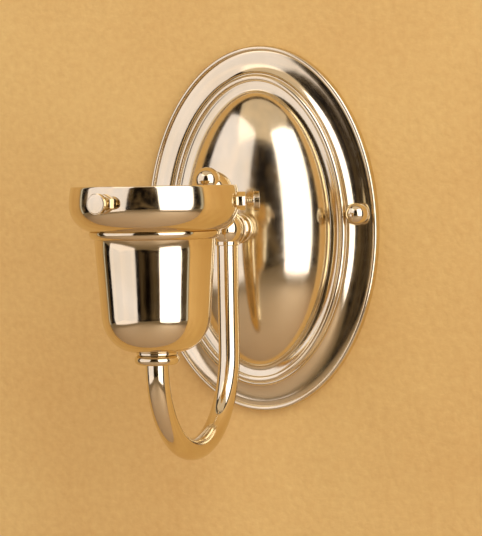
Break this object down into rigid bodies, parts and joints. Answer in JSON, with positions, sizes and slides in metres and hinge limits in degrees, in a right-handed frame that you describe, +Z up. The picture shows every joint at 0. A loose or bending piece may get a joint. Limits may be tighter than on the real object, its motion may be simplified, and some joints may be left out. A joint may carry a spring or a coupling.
{
  "type": "wall sconce lamp arm",
  "caption": "Polished brass wall sconce with an oval stepped backplate, a U-shaped tube arm and a shade-fitter cup with thumbscrews round a lamp socket.",
  "frame": {"origin": "centre of the mounting crossbar's back face, on the wall plane and on the line of the mounting studs", "axes": "+Y into the wall, +Z up, +X to the right seen from the room"},
  "size_m": [0.102, 0.1478, 0.1622],
  "materials": {
    "brass": "polished",
    "zinc_steel": "satin",
    "green_screw": "satin",
    "porcelain": "gloss",
    "black_insulation": "satin",
    "white_insulation": "satin"
  },
  "bodies": {
    "bracket": {"backplate": "brass", "crossbar": "zinc_steel", "mounting_studs": "brass", "ground_screw": "green_screw", "arm_nipple": "brass", "arm_check_nut": "brass", "nipple_washer": "zinc_steel", "nipple_lock_nut": "brass", "arm_elbow": "brass", "elbow_finial": "brass", "arm_tube": "brass", "collar_bead": "brass", "collar_ring": "brass", "cup": "brass", "cup_lock_nut": "brass", "socket_bracket": "zinc_steel", "bracket_screws": "zinc_steel", "socket_body": "porcelain", "socket_shell": "brass", "socket_contact": "brass", "terminal_screws": "brass", "lead_black": "black_insulation", "lead_white": "white_insulation", "rim_bosses": "brass"},
    "shank_1": {"screw_shank_1": "brass"},
    "head_1": {"screw_head_1": "brass"},
    "shank_2": {"screw_shank_2": "brass"},
    "head_2": {"screw_head_2": "brass"},
    "shank_3": {"screw_shank_3": "brass"},
    "head_3": {"screw_head_3": "brass"},
    "collar_left": {"nut_collar_left": "brass"},
    "nut_left": {"ball_nut_left": "brass"},
    "collar_right": {"nut_collar_right": "brass"},
    "nut_right": {"ball_nut_right": "brass"}
  },
  "joints": [
    {"name": "screw_1_travel", "type": "slide", "parent": "bracket", "child": "shank_1", "axis": [-0.1392, -0.9903, 0], "range_m": [-0.00254, 0.00254]},
    {"name": "screw_1_turn", "type": "hinge", "parent": "shank_1", "child": "head_1", "pos_m": [-0.00463, -0.14218, 0.0067], "axis": [-0.1392, -0.9903, 0], "range_deg": [-1440, 1440]},
    {"name": "screw_2_travel", "type": "slide", "parent": "bracket", "child": "shank_2", "axis": [0.9272, 0.3746, 0], "range_m": [-0.00254, 0.00254]},
    {"name": "screw_2_turn", "type": "hinge", "parent": "shank_2", "child": "head_2", "pos_m": [0.03087, -0.09673, 0.0067], "axis": [0.9272, 0.3746, 0], "range_deg": [-1440, 1440]},
    {"name": "screw_3_travel", "type": "slide", "parent": "bracket", "child": "shank_3", "axis": [-0.788, 0.6157, 0], "range_m": [-0.00254, 0.00254]},
    {"name": "screw_3_turn", "type": "hinge", "parent": "shank_3", "child": "head_3", "pos_m": [-0.02624, -0.0887, 0.0067], "axis": [-0.788, 0.6157, 0], "range_deg": [-1440, 1440]},
    {"name": "nut_left_travel", "type": "slide", "parent": "bracket", "child": "collar_left", "axis": [0, -1, 0], "range_m": [0, 0.00794]},
    {"name": "nut_left_turn", "type": "hinge", "parent": "collar_left", "child": "nut_left", "pos_m": [-0.04445, -0.0094, 0], "axis": [0, -1, 0], "range_deg": [0, 3600]},
    {"name": "nut_right_travel", "type": "slide", "parent": "bracket", "child": "collar_right", "axis": [0, -1, 0], "range_m": [0, 0.00794]},
    {"name": "nut_right_turn", "type": "hinge", "parent": "collar_right", "child": "nut_right", "pos_m": [0.04445, -0.0094, 0], "axis": [0, -1, 0], "range_deg": [0, 3600]}
  ],
  "couplings": [
    {"joint": "screw_1_turn", "follows": "screw_1_travel", "rad_per_m": 9894.8},
    {"joint": "screw_2_turn", "follows": "screw_2_travel", "rad_per_m": 9894.8},
    {"joint": "screw_3_turn", "follows": "screw_3_travel", "rad_per_m": 9894.8},
    {"joint": "nut_left_turn", "follows": "nut_left_travel", "rad_per_m": 7915.3},
    {"joint": "nut_right_turn", "follows": "nut_right_travel", "rad_per_m": 7915.3}
  ]
}
